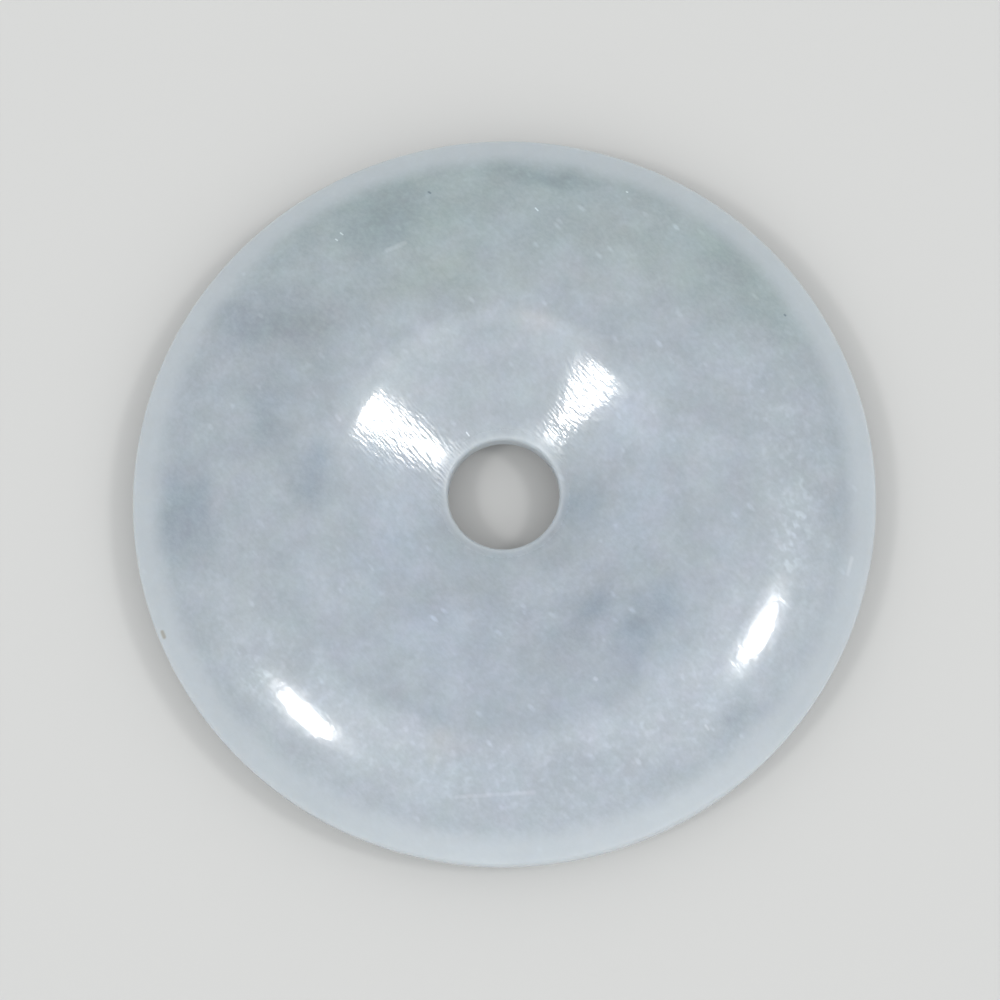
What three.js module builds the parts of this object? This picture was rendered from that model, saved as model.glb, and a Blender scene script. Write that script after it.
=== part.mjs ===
// Plain jade bi disc of the pendant kind, lying flat on one face. Millimetres, +Z up.
//
// The disc is one piece of stone, a solid of revolution about Z. Its two faces are alike. Each is a
// low dome that stands highest on a narrow level ring, the crest, between the cord hole and the rim.
// Outside the crest the face rolls down an arc to a thin blunt rim. Inside it a tighter arc leads to
// a shallow cone that runs straight to the hole. The origin is on the axis, in the plane that the
// lower crest rests on.

import * as THREE from 'three';

// Driving dimensions.
const DISC_RADIUS = 25;
const THICKNESS = 6.9;
const CREST_RADIUS = 14.25; // middle of the ring where each face stands highest
const CREST_LAND = 1; // width of that level ring, on which the disc rests
const OUTER_ARC = 20; // radius of the arc from the crest down to the rim
const INNER_ARC = 10.5; // radius of the arc from the crest in to the cone
const CONE_OUTER = 10.5; // inside this radius each face is a straight cone
const HOLE_RADIUS = 3.75;
const HOLE_EASE = 0.3; // rounding where the cone meets the wall of the hole
const RIM_EASE = 0.5; // rounding where the outer arc meets the rim

// Facets: the sides of the whole turn, and the steps of each curve of the profile.
const SIDES = 96;
const HOLE_EASE_STEPS = 3;
const INNER_ARC_STEPS = 4;
const OUTER_ARC_STEPS = 9;
const RIM_EASE_STEPS = 3;

const JADE_COLOUR = 0xb2bec6;
const JADE_ROUGHNESS = 0.16;

// The upper half of the profile is worked out in the plane of radius (x) and height above the
// mid-plane (y). Angles are counted from the outward direction, towards +Z.
const UP = Math.PI / 2;
const INWARD = Math.PI;

function arc(centre, radius, from, to, steps) {
  const points = [];
  for (let i = 0; i <= steps; i += 1) {
    const angle = from + ((to - from) * i) / steps;
    const x = centre.x + radius * Math.cos(angle);
    const y = centre.y + radius * Math.sin(angle);
    points.push(new THREE.Vector2(x, y));
  }
  return points;
}

// From the wall of the hole, over its rounded lip, up the cone and over the inner arc to the land.
// The arc is centred under the land's inner edge, so it meets the land level.
function innerFace() {
  const landEdge = CREST_RADIUS - CREST_LAND / 2;
  const centre = new THREE.Vector2(landEdge, THICKNESS / 2 - INNER_ARC);
  const tilt = Math.asin((landEdge - CONE_OUTER) / INNER_ARC);
  const coneTop = centre.y + INNER_ARC * Math.cos(tilt);
  const lipRadius = HOLE_RADIUS + HOLE_EASE * (1 - Math.sin(tilt));
  const lipHeight = coneTop - (CONE_OUTER - lipRadius) * Math.tan(tilt);
  const lipCentre = new THREE.Vector2(
    HOLE_RADIUS + HOLE_EASE,
    lipHeight - HOLE_EASE * Math.cos(tilt),
  );
  return [
    ...arc(lipCentre, HOLE_EASE, INWARD, UP + tilt, HOLE_EASE_STEPS),
    ...arc(centre, INNER_ARC, UP + tilt, UP, INNER_ARC_STEPS),
  ];
}

// From the land down the outer arc and round the rim. The rounding lies inside the arc and touches
// it where both have the same tilt.
function outerFace() {
  const landEdge = CREST_RADIUS + CREST_LAND / 2;
  const centre = new THREE.Vector2(landEdge, THICKNESS / 2 - OUTER_ARC);
  const tilt = Math.asin((DISC_RADIUS - RIM_EASE - landEdge) / (OUTER_ARC - RIM_EASE));
  const rimCentre = new THREE.Vector2(
    DISC_RADIUS - RIM_EASE,
    centre.y + (OUTER_ARC - RIM_EASE) * Math.cos(tilt),
  );
  const facePoints = arc(centre, OUTER_ARC, UP, UP - tilt, OUTER_ARC_STEPS);
  const rimPoints = arc(rimCentre, RIM_EASE, UP - tilt, 0, RIM_EASE_STEPS);
  return [...facePoints, ...rimPoints.slice(1)];
}

// The whole section: up from the hole over the upper face, then back under the lower one, which
// mirrors it. The last point repeats the first, so the turned surface closes on itself.
function discSection() {
  const upper = [...innerFace(), ...outerFace()];
  const lower = upper.map((point) => new THREE.Vector2(point.x, -point.y)).reverse();
  const section = [...upper, ...lower, upper[0].clone()];
  return section.map((point) => new THREE.Vector2(point.x, point.y + THICKNESS / 2));
}

// The lathe turns about its own Y axis, so the section runs the other way round to face outwards,
// and the turned disc is laid over to bring that axis to Z.
function discGeometry() {
  const geometry = new THREE.LatheGeometry(discSection().reverse(), SIDES);
  geometry.rotateX(Math.PI / 2);
  return geometry;
}

const jade = new THREE.MeshStandardMaterial({
  color: JADE_COLOUR,
  roughness: JADE_ROUGHNESS,
  metalness: 0,
});

const disc = new THREE.Mesh(discGeometry(), jade);
disc.name = 'jade_disc';

const group = new THREE.Group();
group.name = 'jade_bi_disc';
group.add(disc);

export default group;
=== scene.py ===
"""A plain jade bi disc lying on a pale floor: one stone, with its clouds, flecks and polish marks."""

import math

import bpy
import numpy as np
from mathutils import Matrix, Vector, noise


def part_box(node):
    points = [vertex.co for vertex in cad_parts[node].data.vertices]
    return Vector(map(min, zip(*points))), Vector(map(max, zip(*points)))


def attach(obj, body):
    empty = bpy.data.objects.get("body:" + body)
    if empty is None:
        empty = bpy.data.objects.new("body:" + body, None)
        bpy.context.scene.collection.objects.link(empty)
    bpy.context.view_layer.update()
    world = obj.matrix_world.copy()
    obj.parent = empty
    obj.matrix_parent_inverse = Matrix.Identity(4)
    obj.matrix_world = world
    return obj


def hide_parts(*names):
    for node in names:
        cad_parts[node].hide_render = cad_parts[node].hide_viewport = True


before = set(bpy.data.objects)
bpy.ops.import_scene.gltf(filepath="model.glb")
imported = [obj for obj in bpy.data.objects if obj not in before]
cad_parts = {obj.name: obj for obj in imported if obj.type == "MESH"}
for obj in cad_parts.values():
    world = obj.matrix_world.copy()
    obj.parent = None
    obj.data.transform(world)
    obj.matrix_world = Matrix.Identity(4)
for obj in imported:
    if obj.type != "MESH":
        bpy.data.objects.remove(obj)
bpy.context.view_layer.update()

# The stone's own frame: +Z up, the origin on its axis, on the plane that its lower crest rests on.
# Lengths are in metres, and those of the patterns in millimetres. Azimuths are in degrees, counted
# anticlockwise from +X as seen from above.
LOW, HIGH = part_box("jade_disc")
DISC_RADIUS = (HIGH.x - LOW.x) / 2
THICKNESS = HIGH.z - LOW.z
MM = 0.001

# The profile, as the CAD model has it.
CREST_RADIUS = 0.57 * DISC_RADIUS  # middle of the level ring where each face stands highest
CREST_LAND = 0.04 * DISC_RADIUS
OUTER_ARC = 0.8 * DISC_RADIUS  # from the crest down to the rim
INNER_ARC = 0.42 * DISC_RADIUS  # from the crest in to the cone
CONE_OUTER = 0.42 * DISC_RADIUS  # inside this radius each face is a straight cone
HOLE_RADIUS = 0.15 * DISC_RADIUS
HOLE_EASE = 0.012 * DISC_RADIUS
RIM_EASE = 0.02 * DISC_RADIUS

# How finely the mesh follows it. The underside, which little shows of, has fewer rings.
SIDES = 480
UPPER_STEPS = {"hole_ease": 8, "cone": 22, "inner_arc": 14, "land": 4, "outer_arc": 46, "rim_ease": 10}
LOWER_STEPS = {"hole_ease": 6, "cone": 12, "inner_arc": 8, "land": 2, "outer_arc": 24, "rim_ease": 8}
WALL_STEPS = 4

# Hand polishing leaves the faces very slightly uneven: (wavelength, depth).
POLISH_WAVES = ((5.0 * MM, 0.010 * MM), (1.6 * MM, 0.0022 * MM))
# It has also left the upper face a little proud in one place: azimuth, radius, half size, height.
SWELLINGS = ((44.5, 9.9 * MM, 2.9 * MM, 0.025 * MM),)

# The camera looks down on the disc from the near side, which is -Y.
CAMERA_DISTANCE = 9.2 * DISC_RADIUS
CAMERA_LEAN = math.radians(12.85)  # away from straight above
CAMERA_ROLL = math.radians(-4.78)
CAMERA_OFFSET = Vector((-0.0103, -0.0094)) * DISC_RADIUS  # to its right and up
LENS_MM = 122.9

# Two small lamps mirror in the outer slope at these (azimuth, radius), and once more in the cone.
LAMP_MIRRORED_AT = ((225.2, 0.804 * DISC_RADIUS), (324.9, 0.785 * DISC_RADIUS))
LAMP_DISTANCE = 2.8
LAMP_HALF_ANGLE = math.radians(4.0)
LAMP_RADIANCE = 20.0
# The lamps' glow on what is round them: the angles that it fades between, and its radiance.
HALOS = ((9.0, 4.0, 2.2), (26.0, 5.0, 0.85))
# Soft lights in the dome: azimuth, elevation, the angles that they fade between, radiance.
SOFT_LIGHTS = (
    (216.0, 77.5, 10.0, 2.0, 0.6),  # three that make a faint bar from lamp to lamp
    (270.0, 83.0, 10.0, 2.0, 0.6),
    (336.0, 77.5, 10.0, 2.0, 0.6),
    (278.0, 46.0, 40.0, 12.0, 0.66),  # the near side, which brightens the slopes that face it
)
SKY = (0.985, 0.995, 1.0, 1)
SKY_RADIANCE = 0.60
FLOOR_SIZE = 4.0
FLOOR_COLOUR = (0.62, 0.62, 0.61, 1)
FLOOR_ROUGHNESS = 0.7

UP = math.pi / 2  # the angle of straight up, in the plane of radius and height


# ---------------------------------------------------------------- the profile

def arc(centre, radius, start, end, steps):
    """Points (radius, height) along an arc, with both its ends."""
    angles = np.linspace(start, end, steps + 1)
    return np.stack([centre[0] + radius * np.cos(angles), centre[1] + radius * np.sin(angles)], 1)


def straight(start, end, steps):
    """Points strictly between two points."""
    share = np.linspace(0, 1, steps + 1)[1:-1, None]
    return np.asarray(start) * (1 - share) + np.asarray(end) * share


def inner_face(steps):
    """From the wall of the hole over its lip, up the cone and over the inner arc to the land."""
    land_edge = CREST_RADIUS - CREST_LAND / 2
    centre = (land_edge, THICKNESS / 2 - INNER_ARC)
    tilt = math.asin((land_edge - CONE_OUTER) / INNER_ARC)
    cone_top = centre[1] + INNER_ARC * math.cos(tilt)
    lip_radius = HOLE_RADIUS + HOLE_EASE * (1 - math.sin(tilt))
    lip_height = cone_top - (CONE_OUTER - lip_radius) * math.tan(tilt)
    lip_centre = (HOLE_RADIUS + HOLE_EASE, lip_height - HOLE_EASE * math.cos(tilt))
    lip = arc(lip_centre, HOLE_EASE, math.pi, UP + tilt, steps["hole_ease"])
    shoulder = arc(centre, INNER_ARC, UP + tilt, UP, steps["inner_arc"])
    return [lip, straight(lip[-1], shoulder[0], steps["cone"]), shoulder]


def outer_face(steps):
    """From the land down the outer arc and round the rim."""
    land_edge = CREST_RADIUS + CREST_LAND / 2
    centre = (land_edge, THICKNESS / 2 - OUTER_ARC)
    tilt = math.asin((DISC_RADIUS - RIM_EASE - land_edge) / (OUTER_ARC - RIM_EASE))
    rim_centre = (DISC_RADIUS - RIM_EASE, centre[1] + (OUTER_ARC - RIM_EASE) * math.cos(tilt))
    slope = arc(centre, OUTER_ARC, UP, UP - tilt, steps["outer_arc"])
    rim = arc(rim_centre, RIM_EASE, UP - tilt, 0, steps["rim_ease"])
    return [slope, rim[1:]]


def half_section(steps):
    """The upper half of the section, from the hole to the rim, with heights above the mid-plane."""
    inner = inner_face(steps)
    outer = outer_face(steps)
    land = straight(inner[-1][-1], outer[0][0], steps["land"])
    return np.concatenate(inner + [land] + outer)


def disc_section():
    """The whole closed section: over the top, down the rim, back below and up the hole.

    Its first point isn't repeated at the end.
    """
    upper = half_section(UPPER_STEPS)
    lower = half_section(LOWER_STEPS)[::-1] * (1, -1)
    rim_wall = straight(upper[-1], lower[0], WALL_STEPS)
    hole_wall = straight(lower[-1], upper[0], WALL_STEPS)
    section = np.concatenate([upper, rim_wall, lower, hole_wall])
    return section + (0, THICKNESS / 2)


# ---------------------------------------------------------------- the stone's mesh

def unevenness(places):
    """How far below the true surface the polish has gone at each place, less its swellings."""
    depth = np.zeros(len(places))
    for wavelength, size in POLISH_WAVES:
        waves = np.array([noise.noise(Vector(place) / wavelength) for place in places])
        depth += size * (0.5 + 0.5 * waves)
    for azimuth, radius, half_size, height in SWELLINGS:
        turn = math.radians(azimuth)
        middle = (radius * math.cos(turn), radius * math.sin(turn))
        away = np.linalg.norm(places[:, :2] - middle, axis=1) / half_size
        upper = places[:, 2] > THICKNESS / 2
        depth -= height * np.clip(1 - away**2, 0, None) ** 2 * upper
    return depth


def turned(section):
    """Pairs (radius, height) turned about Z: each pair gives a row of places, one for each side."""
    turns = np.radians(np.arange(SIDES) * 360 / SIDES)
    x = section[:, :1] * np.cos(turns)
    y = section[:, :1] * np.sin(turns)
    z = np.repeat(section[:, 1:], SIDES, 1)
    return np.stack([x, y, z], 2).reshape(-1, 3)


def turned_stone(name):
    """The section turned about Z into one closed mesh, faces out, smooth all over."""
    section = disc_section()
    places = turned(section)
    along = np.roll(section, -1, 0) - np.roll(section, 1, 0)
    outward = np.stack([-along[:, 1], along[:, 0]], 1)
    outward /= np.linalg.norm(outward, axis=1, keepdims=True)
    places -= turned(outward) * unevenness(places)[:, None]

    rings = len(section)
    ring = np.repeat(np.arange(rings), SIDES)
    side = np.tile(np.arange(SIDES), rings)
    this_row = ring * SIDES
    next_row = (ring + 1) % rings * SIDES
    next_side = (side + 1) % SIDES
    faces = np.stack([this_row + side, next_row + side, next_row + next_side, this_row + next_side], 1)
    mesh = bpy.data.meshes.new(name)
    mesh.from_pydata(places.tolist(), [], faces.tolist())
    mesh.shade_smooth()
    mesh.validate()
    stone = bpy.data.objects.new(name, mesh)
    bpy.context.scene.collection.objects.link(stone)
    return stone


# ---------------------------------------------------------------- shader nodes

def node(tree, kind, inputs=(), **settings):
    """A shader node with its settings and inputs, each a plain value or the socket that feeds it."""
    made = tree.nodes.new(kind)
    for setting, value in settings.items():
        setattr(made, setting, value)
    for key, value in dict(inputs).items():
        if isinstance(value, bpy.types.NodeSocket):
            tree.links.new(value, made.inputs[key])
        else:
            made.inputs[key].default_value = value
    return made


def maths(tree, operation, *values):
    """One operation on plain numbers."""
    return node(tree, "ShaderNodeMath", enumerate(values), operation=operation).outputs[0]


def vector_maths(tree, operation, *values):
    """One operation on vectors. It gives a vector, but LENGTH gives a plain number."""
    made = node(tree, "ShaderNodeVectorMath", enumerate(values), operation=operation)
    return made.outputs["Value" if operation == "LENGTH" else "Vector"]


def turned_about_z(tree, vector, angle):
    """A vector turned about Z."""
    inputs = {"Vector": vector, "Angle": angle}
    return node(tree, "ShaderNodeVectorRotate", inputs, rotation_type="Z_AXIS").outputs["Vector"]


def dot(tree, one, other):
    """The dot product of two vectors."""
    made = node(tree, "ShaderNodeVectorMath", {0: one, 1: other}, operation="DOT_PRODUCT")
    return made.outputs["Value"]


def rise(tree, value, start, end):
    """0 up to start, 1 from end, and smooth between. It falls where start is the larger."""
    inputs = {"Value": value, "From Min": start, "From Max": end}
    return node(tree, "ShaderNodeMapRange", inputs, interpolation_type="SMOOTHSTEP").outputs["Result"]


def blend(tree, share, below, above, how="MIX"):
    """One colour laid over another by its share, mixed with it or joined as how says."""
    inputs = {0: share, 6: below, 7: above}
    return node(tree, "ShaderNodeMix", inputs, data_type="RGBA", blend_type=how).outputs[2]


def grain(tree, place, size, detail, roughness=0.5):
    """Noise from 0 to 1 with bumps about size across, in the units of place."""
    inputs = {"Vector": place, "Scale": 1 / size, "Detail": detail, "Roughness": roughness}
    return node(tree, "ShaderNodeTexNoise", inputs).outputs["Fac"]


def drifting(tree, place, size):
    """A vector that drifts between 0 and 1 in each direction, in bumps about size across."""
    inputs = {"Vector": place, "Scale": 1 / size, "Detail": 2.0}
    return node(tree, "ShaderNodeTexNoise", inputs).outputs["Color"]


def strayed(tree, place, drift, reach):
    """The place moved to and fro by the drift, by up to half of reach."""
    shift = vector_maths(tree, "SUBTRACT", drift, (0.5, 0.5, 0.5))
    return vector_maths(tree, "ADD", place, vector_maths(tree, "MULTIPLY", shift, reach))


def grey(level):
    """A grey colour."""
    return (level, level, level, 1)


def varied(tree, colour, share, low, high):
    """The colour times a grey level that goes from low to high with share."""
    return blend(tree, 1.0, colour, blend(tree, share, grey(low), grey(high)), "MULTIPLY")


# ---------------------------------------------------------------- the jade

# Broad clouds in the stone: azimuth, radius and half sizes across and along the ring in mm, and the
# tint that the stone is multiplied by at the middle.
DARK = (0.80, 0.83, 0.845, 1)
GREY_BLUE = (0.79, 0.83, 0.87, 1)
FAINT_BLUE = (0.88, 0.905, 0.93, 1)
BROWN_GREY = (0.77, 0.78, 0.77, 1)
GREENISH = (0.90, 0.955, 0.90, 1)
OLIVE = (0.965, 0.975, 0.925, 1)
HAZE = (0.95, 0.955, 0.955, 1)
WARM = (1.06, 1.0, 0.97, 1)
MILKY = (1.08, 1.07, 1.08, 1)
PALE = (1.13, 1.135, 1.17, 1)
BLUISH = (1.03, 1.03, 1.06, 1)
CLOUDS = (
    (95, 20.5, 8.6, 26.0, GREENISH),
    (40, 22.0, 7.0, 13.0, GREENISH),
    (35, 21.8, 2.6, 5.0, HAZE),
    (77, 22.2, 1.8, 6.0, DARK),
    (110, 20.6, 3.2, 5.0, DARK),
    (112, 16.0, 4.0, 8.0, OLIVE),
    (88, 14.2, 3.0, 7.0, OLIVE),
    (58, 17.4, 5.0, 8.0, OLIVE),
    (137, 17.2, 4.2, 5.0, BROWN_GREY),
    (142, 20.6, 3.6, 4.6, DARK),
    (158, 16.4, 2.4, 4.0, DARK),
    (173, 13.0, 2.7, 3.2, GREY_BLUE),
    (180, 21.2, 2.4, 5.0, GREY_BLUE),
    (300, 10.4, 2.4, 3.4, GREY_BLUE),
    (303, 13.6, 2.2, 2.6, GREY_BLUE),
    (316, 13.0, 2.6, 3.2, GREY_BLUE),
    (347, 5.2, 1.5, 2.8, FAINT_BLUE),
    (310, 21.6, 1.8, 3.0, DARK),
    (253, 17.6, 1.6, 2.4, WARM),
    (74, 11.2, 1.4, 2.0, WARM),
    (182, 7.4, 3.8, 5.0, PALE),
    (340, 8.8, 3.6, 4.6, PALE),
    (22, 9.0, 4.4, 5.0, PALE),
    (208, 9.0, 3.6, 3.6, PALE),
    (10, 14.5, 6.0, 9.0, MILKY),
    (246, 10.5, 4.6, 7.0, PALE),
    (282, 15.0, 11.0, 22.0, BLUISH),
    (212, 13.0, 4.0, 6.0, MILKY),
    (285, 8.0, 3.6, 6.0, MILKY),
    (335, 16.0, 5.0, 7.0, MILKY),
    (226, 15.0, 3.0, 6.0, MILKY),
    (57, 16.2, 3.2, 5.0, MILKY),
)
CLOUD_HEIGHT = 5.0  # of their middles
CLOUD_DEPTH = 6.5  # their half size up and down
CLOUD_RAGS = 4.5  # the size of the rags at their edges
CLOUD_STRAY = (5.0, 5.0, 5.0)  # twice how far those rags can reach

# Where the polishing streaks are deeper: places as in CLOUDS, and how many plain depths are added at
# the middle.
DEEP_STREAKS = (
    (45, 8.6, 3.2, 5.0, 5.0),
    (43, 5.6, 2.4, 3.4, 11.0),
    (152, 7.6, 4.8, 4.4, 7.0),
)

# Painted glare: where the lamps' glare is painted as bright dashes on the grain beside their highlights;
# places as in CLOUDS.
GLARE_TRAILS = (
    (346, 19.4, 1.6, 6.5),
    (214, 20.6, 1.6, 3.6),
)

# Scratches and specks on the upper face, and painted glints, in mm: the ends of each, its half width, and
# the tint of the stone at its middle.
PALE_SCRATCH = (1.13, 1.11, 1.10, 1)
PALE_FLECK = (1.25, 1.22, 1.20, 1)
# A painted highlight: a tiny sparkle of light painted as a very bright spot.
PAINTED_GLINT = (1.75, 1.7, 1.65, 1)
PALE_WISP = (1.18, 1.16, 1.15, 1)
DARK_SPECK = (0.55, 0.58, 0.62, 1)
BROWN_SPECK = (0.76, 0.69, 0.60, 1)
MARKS = (
    ((-4.7, -20.35), (0.4, -20.55), 0.20, PALE_SCRATCH),
    ((-6.5, 16.95), (-5.3, 17.35), 0.26, PALE_WISP),
    ((22.7, -6.5), (22.35, -7.55), 0.20, PALE_SCRATCH),
    ((-9.55, 18.7), (-9.42, 18.52), 0.075, PAINTED_GLINT),
    ((-9.9, 18.25), (-9.8, 18.13), 0.07, PAINTED_GLINT),
    ((3.75, 19.15), (3.9, 18.95), 0.08, PAINTED_GLINT),
    ((-2.1, 4.35), (-1.95, 4.15), 0.08, PAINTED_GLINT),
    ((10.05, 20.1), (10.1, 20.05), 0.09, PAINTED_GLINT),
    ((11.95, -17.05), (12.1, -17.3), 0.14, PALE_FLECK),
    ((4.95, -13.45), (5.05, -13.5), 0.20, PALE_FLECK),
    ((-3.4, 21.1), (-3.3, 21.0), 0.11, DARK_SPECK),
    ((19.9, 10.55), (19.95, 10.5), 0.12, DARK_SPECK),
    ((-23.4, -7.45), (-23.3, -7.85), 0.20, BROWN_SPECK),
)
MARK_CORE = 0.2  # the share of its half width in which a mark has its full tint
MARK_STRAY = (0.3, 0.3, 0.0)  # twice how far a mark can stray from its line
FAR = 100.0  # beyond the reach of any mark

STONE = (0.418, 0.467, 0.511, 1)
# Painted glow: paler colour painted where the rim and the lip of the hole let more light through, and its
# share in each.
THIN_GLOW_STONE = (0.545, 0.593, 0.627, 1)
RIM_GLOW_SHARE = 0.72
LIP_GLOW_SHARE = 0.55
HUE_DRIFTS = 1.9  # their size
HUE_SHARE = 0.032  # how much of them shows
JADEITE_IOR = 1.66
LIGHT_REACH = 2.0  # under the surface
LIGHT_REACH_SHARES = (1.0, 0.9, 0.8)  # of it, in red, green and blue

FULL = DISC_RADIUS / MM  # the disc's radius in the millimetres of the patterns

# Rings of the face: the radii that each fades in between, as shares of the disc's radius.
RIM_RING = (0.895, 0.962)
LIP_RING = (0.170, 0.156)
UNREACHED_RING = (0.215, 0.165)  # by the polishing wheel
# A ring of the near side where more milky specks are painted in, as the mottled reflection of a faint light
# bar.
SHEEN_RING_INSIDE = (0.64, 0.74)
SHEEN_RING_OUTSIDE = (0.89, 0.80)
SHEEN_SIDE = (0.45, -0.9, 0.0)  # the direction from the middle in which milky specks lie thickest
SHEEN_SIDE_EDGE = 0.16  # how far each way of the middle they thin out, as a share of the disc's radius
FEWEST_SPECKS = 0.4

# The grain of the stone is drawn out along the polishing streaks, by these scales.
STREAK_TURN = math.radians(52)  # turns the direction of the streaks onto X
FINE_STRETCH = (0.6, 1.0, 1.0)
FLECK_STRETCH = (0.45, 1.0, 1.0)
STREAK_STRETCH = (0.3, 1.0, 0.5)
FLECK_SIZE = 0.8
# Two patterns are read from places moved by these, so that they don't follow the others.
SMUDGE_OFFSET = (31.0, 7.0, 3.0)
SPECK_OFFSET = (5.0, 17.0, 9.0)

# Heights of the relief that the polish left, and how rough it is.
PEEL_RELIEF = 0.02
STREAK_RELIEF = 0.0016
UNREACHED_DEPTHS = 8.0  # plain depths of the streaks that are added where the wheel didn't reach
SMOOTHEST = 0.06
GRAIN_ROUGHNESS = 0.06
UNREACHED_ROUGHNESS = 0.22


def cloud_group():
    """A node group: 1 at the middle of an ellipsoid, falling softly to 0 at its surface."""
    tree = bpy.data.node_groups.new("cloud", "ShaderNodeTree")
    for name in ("Place", "Middle", "Shrink"):
        tree.interface.new_socket(name, in_out="INPUT", socket_type="NodeSocketVector")
    tree.interface.new_socket("Turn Back", in_out="INPUT", socket_type="NodeSocketFloat")
    tree.interface.new_socket("Cloud", in_out="OUTPUT", socket_type="NodeSocketFloat")
    given = node(tree, "NodeGroupInput").outputs
    away = vector_maths(tree, "SUBTRACT", given["Place"], given["Middle"])
    level = turned_about_z(tree, away, given["Turn Back"])
    distance = vector_maths(tree, "LENGTH", vector_maths(tree, "MULTIPLY", level, given["Shrink"]))
    node(tree, "NodeGroupOutput", {"Cloud": rise(tree, distance, 1.0, 0.0)})
    return tree


def use_group(tree, group, inputs):
    """Another use of a node group, and the value it gives."""
    return node(tree, "ShaderNodeGroup", inputs, node_tree=group).outputs[0]


def cloud(tree, clouds, place, azimuth, radius, across, along):
    """How much there is at the place of a cloud that has its middle and half sizes as in CLOUDS."""
    turn = math.radians(azimuth)
    return use_group(tree, clouds, {
        "Place": place,
        "Middle": (radius * math.cos(turn), radius * math.sin(turn), CLOUD_HEIGHT),
        "Shrink": (1 / across, 1 / along, 1 / CLOUD_DEPTH),
        "Turn Back": -turn,
    })


def mark_group():
    """A node group: 1 within Core of the line from Start along Run, falling to 0 at Half Width."""
    tree = bpy.data.node_groups.new("mark", "ShaderNodeTree")
    for name in ("Place", "Start", "Run", "Run Over Its Square"):
        tree.interface.new_socket(name, in_out="INPUT", socket_type="NodeSocketVector")
    for name in ("Half Width", "Core"):
        tree.interface.new_socket(name, in_out="INPUT", socket_type="NodeSocketFloat")
    tree.interface.new_socket("Mark", in_out="OUTPUT", socket_type="NodeSocketFloat")
    given = node(tree, "NodeGroupInput").outputs
    away = vector_maths(tree, "SUBTRACT", given["Place"], given["Start"])
    along = node(tree, "ShaderNodeClamp", {"Value": dot(tree, away, given["Run Over Its Square"])})
    on_line = node(
        tree, "ShaderNodeVectorMath", {0: given["Run"], "Scale": along.outputs["Result"]}, operation="SCALE"
    ).outputs["Vector"]
    distance = vector_maths(tree, "LENGTH", vector_maths(tree, "SUBTRACT", away, on_line))
    node(tree, "NodeGroupOutput", {"Mark": rise(tree, distance, given["Half Width"], given["Core"])})
    return tree


def with_clouds(tree, clouds, colour, place):
    """The colour with each of the broad clouds laid over it, their edges made ragged by noise."""
    ragged = strayed(tree, place, drifting(tree, place, CLOUD_RAGS), CLOUD_STRAY)
    for azimuth, radius, across, along, tint in CLOUDS:
        share = cloud(tree, clouds, ragged, azimuth, radius, across, along)
        colour = blend(tree, share, colour, tint, "MULTIPLY")
    return colour


def with_hues(tree, colour, drift):
    """The colour with slight drifts of hue."""
    hues = blend(tree, 1.0, drift, grey(2.0), "MULTIPLY")
    hues = blend(tree, HUE_SHARE, grey(1.0), hues)
    return blend(tree, 1.0, colour, hues, "MULTIPLY")


def in_ring(tree, radius, ring):
    """0 to 1 as the radius goes over the edge of a ring of the face."""
    start, end = ring
    return rise(tree, radius, start * FULL, end * FULL)


def speck_and_sheen_share(tree, place, radius):
    """How thick milky specks lie: 1 in a ring of the near side, where more are painted in as the mottled
    reflection of a faint light bar, falling softly to less all round it.
    """
    inside = in_ring(tree, radius, SHEEN_RING_INSIDE)
    outside = in_ring(tree, radius, SHEEN_RING_OUTSIDE)
    edge = SHEEN_SIDE_EDGE * FULL
    near = rise(tree, dot(tree, place, SHEEN_SIDE), -edge, edge)
    most = maths(tree, "MULTIPLY", maths(tree, "MULTIPLY", inside, outside), near)
    return maths(tree, "ADD", maths(tree, "MULTIPLY", most, 1 - FEWEST_SPECKS), FEWEST_SPECKS)


def with_specks_and_glare(tree, clouds, colour, place, streaked, radius):
    """The colour with milky specks all over it, more of them painted in as a reflection, and with painted
    glare as bright dashes in trails beside the lamps' highlights.
    """
    specks = grain(tree, vector_maths(tree, "ADD", place, SPECK_OFFSET), size=0.6, detail=1.0)
    # Extra specks painted in a near-side ring stand for the mottled reflection of a faint light bar; the
    # rest are the stone's own.
    specks = maths(tree, "MULTIPLY", rise(tree, specks, 0.45, 0.80), speck_and_sheen_share(tree, place, radius))
    colour = varied(tree, colour, specks, low=0.99, high=1.12)
    glare_dashes = grain(tree, vector_maths(tree, "MULTIPLY", streaked, FINE_STRETCH), size=0.5, detail=1.0)
    glare_dashes = rise(tree, glare_dashes, 0.50, 0.67)
    # Painted glare: bright dashes painted on the grain beside the lamps' highlights, where their glare
    # catches.
    for azimuth, distance, across, along in GLARE_TRAILS:
        glare_share = cloud(tree, clouds, place, azimuth, distance, across, along)
        colour = varied(tree, colour, maths(tree, "MULTIPLY", glare_share, glare_dashes), low=1.0, high=1.28)
    return colour


def flecks(tree, streaked):
    """Small spots, longer along the streaks, in the luckier cells of a loose pattern."""
    stretched = vector_maths(tree, "MULTIPLY", streaked, FLECK_STRETCH)
    cells = node(tree, "ShaderNodeTexVoronoi", {"Vector": stretched, "Scale": 1 / FLECK_SIZE}).outputs
    luck = node(tree, "ShaderNodeSeparateColor", {"Color": cells["Color"]}).outputs["Red"]
    spot = rise(tree, cells["Distance"], 0.27, 0.08)
    return maths(tree, "MULTIPLY", spot, rise(tree, luck, 0.35, 1.0))


def thin_glow(tree, radius):
    """How much painted glow there is, paler and smoother, for light let through where the stone is thin: at
    the rim and at the lip of the hole.
    """
    rim = maths(tree, "MULTIPLY", in_ring(tree, radius, RIM_RING), RIM_GLOW_SHARE)
    lip = maths(tree, "MULTIPLY", in_ring(tree, radius, LIP_RING), LIP_GLOW_SHARE)
    return maths(tree, "ADD", rim, lip)


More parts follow.
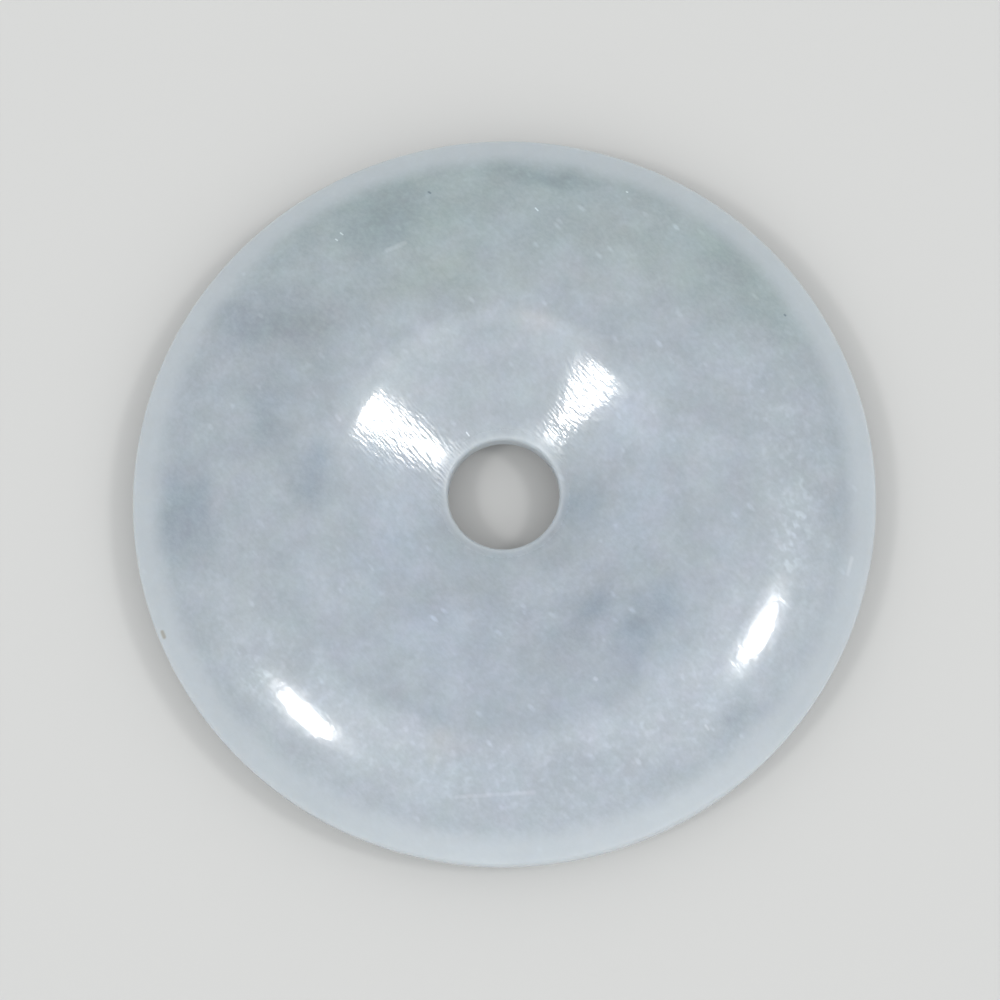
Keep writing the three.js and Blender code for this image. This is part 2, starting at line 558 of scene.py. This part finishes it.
def with_marks(tree, colour, place, drift):
    """The colour with the marks and painted glints on it, on the upper face only, their lines a little
    crooked.
    """
    x, y, z = node(tree, "ShaderNodeSeparateXYZ", {"Vector": place}).outputs
    below = rise(tree, z, 0.55 * THICKNESS / MM, 0.5 * THICKNESS / MM)
    away = maths(tree, "MULTIPLY", below, FAR)
    plan = node(tree, "ShaderNodeCombineXYZ", {"X": x, "Y": y, "Z": away}).outputs["Vector"]
    plan = strayed(tree, plan, drift, MARK_STRAY)
    group = mark_group()
    for start, end, half_width, tint in MARKS:
        run = Vector((end[0] - start[0], end[1] - start[1], 0.0))
        share = use_group(tree, group, {
            "Place": plan,
            "Start": (*start, 0.0),
            "Run": run,
            "Run Over Its Square": run / run.length_squared,
            "Half Width": half_width,
            "Core": MARK_CORE * half_width,
        })
        colour = blend(tree, share, colour, tint, "MULTIPLY")
    return colour


def stone_colour(tree, clouds, place, streaked, radius, fine):
    """The colour of the stone: its clouds, hues, mottling, specks and flecks, with painted reflection and
    glare among the specks, painted glow at its thin parts, its marks and painted glints.
    """
    drift = drifting(tree, place, HUE_DRIFTS)
    mottling = grain(tree, place, size=3.0, detail=3.0, roughness=0.60)
    smudges = grain(tree, vector_maths(tree, "ADD", place, SMUDGE_OFFSET), size=1.6, detail=3.0)
    colour = with_clouds(tree, clouds, STONE, place)
    colour = with_hues(tree, colour, drift)
    colour = varied(tree, colour, rise(tree, mottling, 0.34, 0.66), low=0.945, high=1.045)
    colour = varied(tree, colour, rise(tree, smudges, 0.58, 0.74), low=1.0, high=0.95)
    colour = with_specks_and_glare(tree, clouds, colour, place, streaked, radius)
    colour = varied(tree, colour, rise(tree, fine, 0.25, 0.75), low=0.955, high=1.045)
    fleck = maths(tree, "MULTIPLY", flecks(tree, streaked), rise(tree, smudges, 0.35, 0.60))
    colour = varied(tree, colour, fleck, low=1.0, high=1.22)
    # Painted glow: the rim and the lip of the hole are painted paler, for light let through the thin stone.
    colour = blend(tree, thin_glow(tree, radius), colour, THIN_GLOW_STONE)
    return with_marks(tree, colour, place, drift)


def relief(tree, height, distance, **under):
    """The normal with bumps over it, distance high where the height is 1."""
    inputs = {"Height": height, "Distance": distance, "Strength": 1.0, **under}
    return node(tree, "ShaderNodeBump", inputs).outputs["Normal"]


def polish(tree, clouds, place, streaked, unreached):
    """The normal of the polished face: a slight orange peel, and fine striations, deeper in places."""
    stretched = vector_maths(tree, "MULTIPLY", streaked, STREAK_STRETCH)
    lobes = maths(tree, "MULTIPLY", grain(tree, stretched, size=0.7, detail=1.0), 0.18)
    peel = maths(tree, "MULTIPLY", grain(tree, place, size=0.6, detail=1.0), 0.27)
    peeled = relief(tree, maths(tree, "ADD", lobes, peel), PEEL_RELIEF * MM)
    striations = grain(tree, stretched, size=0.17, detail=0.0)
    depth = maths(tree, "ADD", 1.0, maths(tree, "MULTIPLY", unreached, UNREACHED_DEPTHS))
    for azimuth, distance, across, along, deeper in DEEP_STREAKS:
        share = cloud(tree, clouds, place, azimuth, distance, across, along)
        depth = maths(tree, "ADD", depth, maths(tree, "MULTIPLY", share, deeper))
    return relief(tree, striations, maths(tree, "MULTIPLY", depth, STREAK_RELIEF * MM), Normal=peeled)


def jade():
    """Polished milky jadeite."""
    material = bpy.data.materials.new("polished_jade")
    material.use_nodes = True
    tree = material.node_tree
    tree.nodes.clear()
    metres = node(tree, "ShaderNodeTexCoord").outputs["Object"]
    place = vector_maths(tree, "MULTIPLY", metres, (1 / MM, 1 / MM, 1 / MM))
    radius = vector_maths(tree, "LENGTH", vector_maths(tree, "MULTIPLY", place, (1.0, 1.0, 0.0)))
    streaked = turned_about_z(tree, place, STREAK_TURN)
    stretched = vector_maths(tree, "MULTIPLY", streaked, FINE_STRETCH)
    fine = grain(tree, stretched, size=0.26, detail=2.0, roughness=0.7)
    clouds = cloud_group()
    unreached = in_ring(tree, radius, UNREACHED_RING)
    roughness = maths(tree, "ADD", maths(tree, "MULTIPLY", fine, GRAIN_ROUGHNESS), SMOOTHEST)
    roughness = maths(tree, "ADD", roughness, maths(tree, "MULTIPLY", unreached, UNREACHED_ROUGHNESS))
    shader = node(tree, "ShaderNodeBsdfPrincipled", {
        "Base Color": stone_colour(tree, clouds, place, streaked, radius, fine),
        "Roughness": roughness,
        "Normal": polish(tree, clouds, place, streaked, unreached),
        "IOR": JADEITE_IOR,
        "Subsurface Weight": 1.0,
        "Subsurface Radius": LIGHT_REACH_SHARES,
        "Subsurface Scale": LIGHT_REACH * MM,
    })
    node(tree, "ShaderNodeOutputMaterial", {"Surface": shader.outputs["BSDF"]})
    return material


# ---------------------------------------------------------------- floor, camera and light

def floor():
    """A plain pale floor."""
    half = FLOOR_SIZE / 2
    mesh = bpy.data.meshes.new("floor")
    corners = [(-half, -half, 0), (half, -half, 0), (half, half, 0), (-half, half, 0)]
    mesh.from_pydata(corners, [], [(0, 1, 2, 3)])
    plane = bpy.data.objects.new("floor", mesh)
    bpy.context.scene.collection.objects.link(plane)
    paint = bpy.data.materials.new("pale_floor")
    paint.use_nodes = True
    shader = paint.node_tree.nodes["Principled BSDF"]
    shader.inputs["Base Color"].default_value = FLOOR_COLOUR
    shader.inputs["Roughness"].default_value = FLOOR_ROUGHNESS
    mesh.materials.append(paint)
    return plane


def camera():
    """Looks at the middle of the disc from the near side, leaning a little from straight above."""
    back = Vector((0, -math.sin(CAMERA_LEAN), math.cos(CAMERA_LEAN)))
    level_right = Vector((1, 0, 0))
    level_up = back.cross(level_right)
    right = level_right * math.cos(CAMERA_ROLL) + level_up * math.sin(CAMERA_ROLL)
    up = level_up * math.cos(CAMERA_ROLL) - level_right * math.sin(CAMERA_ROLL)
    place = Vector((0, 0, THICKNESS / 2)) + back * CAMERA_DISTANCE
    place += right * CAMERA_OFFSET.x + up * CAMERA_OFFSET.y
    lens = bpy.data.cameras.new("camera")
    lens.lens = LENS_MM
    lens.clip_start = 0.01
    made = bpy.data.objects.new("camera", lens)
    bpy.context.scene.collection.objects.link(made)
    made.matrix_world = Matrix.Translation(place) @ Matrix((right, up, back)).transposed().to_4x4()
    bpy.context.scene.camera = made
    return made


def outer_slope(azimuth, radius):
    """The place on the upper outer face there, and its normal."""
    land_edge = CREST_RADIUS + CREST_LAND / 2
    tilt = math.asin((radius - land_edge) / OUTER_ARC)
    height = THICKNESS - OUTER_ARC * (1 - math.cos(tilt))
    turn = math.radians(azimuth)
    outward = Vector((math.cos(turn), math.sin(turn), 0))
    normal = outward * math.sin(tilt) + Vector((0, 0, math.cos(tilt)))
    return outward * radius + Vector((0, 0, height)), normal


def disc_light(name, place, target, half_angle, radiance):
    """A round light that looks half_angle wide each way from target."""
    distance = (place - target).length
    radius = distance * math.tan(half_angle)
    light = bpy.data.lights.new(name, "AREA")
    light.shape = "DISK"
    light.size = 2 * radius
    light.energy = radiance * math.pi * math.pi * radius * radius  # the power that gives that radiance
    made = bpy.data.objects.new(name, light)
    bpy.context.scene.collection.objects.link(made)
    made.location = place
    made.rotation_euler = (place - target).to_track_quat("Z", "Y").to_euler()
    return made


def towards(azimuth, elevation):
    """The direction there."""
    turn, climb = math.radians(azimuth), math.radians(elevation)
    return Vector((math.cos(turn) * math.cos(climb), math.sin(turn) * math.cos(climb), math.sin(climb)))


def lamps(camera_place):
    """Puts each lamp where the camera sees it mirrored at its place, and gives their directions."""
    directions = []
    for number, (azimuth, radius) in enumerate(LAMP_MIRRORED_AT, 1):
        spot, normal = outer_slope(azimuth, radius)
        view = (camera_place - spot).normalized()
        direction = 2 * view.dot(normal) * normal - view
        disc_light(f"lamp_{number}", spot + direction * LAMP_DISTANCE, spot, LAMP_HALF_ANGLE, LAMP_RADIANCE)
        directions.append(direction)
    return directions


def dome(lamp_directions):
    """An even pale sky with soft glows in it, by direction alone."""
    world = bpy.data.worlds.new("studio")
    world.use_nodes = True
    tree = world.node_tree
    background = tree.nodes["Background"]
    background.inputs["Color"].default_value = SKY
    direction = node(tree, "ShaderNodeTexCoord").outputs["Generated"]
    glows = [
        (towards(azimuth, elevation), edge, core, radiance)
        for azimuth, elevation, edge, core, radiance in SOFT_LIGHTS
    ]
    for lamp in lamp_directions:
        glows += [(lamp, *halo) for halo in HALOS]
    radiance = SKY_RADIANCE
    for middle, edge, core, strength in glows:
        start, end = math.cos(math.radians(edge)), math.cos(math.radians(core))
        share = rise(tree, dot(tree, direction, middle), start, end)
        radiance = maths(tree, "ADD", radiance, maths(tree, "MULTIPLY", share, strength))
    tree.links.new(radiance, background.inputs["Strength"])
    bpy.context.scene.world = world


stone = turned_stone("bi_disc_stone")
stone.data.materials.append(jade())
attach(stone, "root")
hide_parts("jade_disc")

floor()
dome(lamps(camera().matrix_world.translation))
bpy.context.scene.view_settings.view_transform = "Standard"
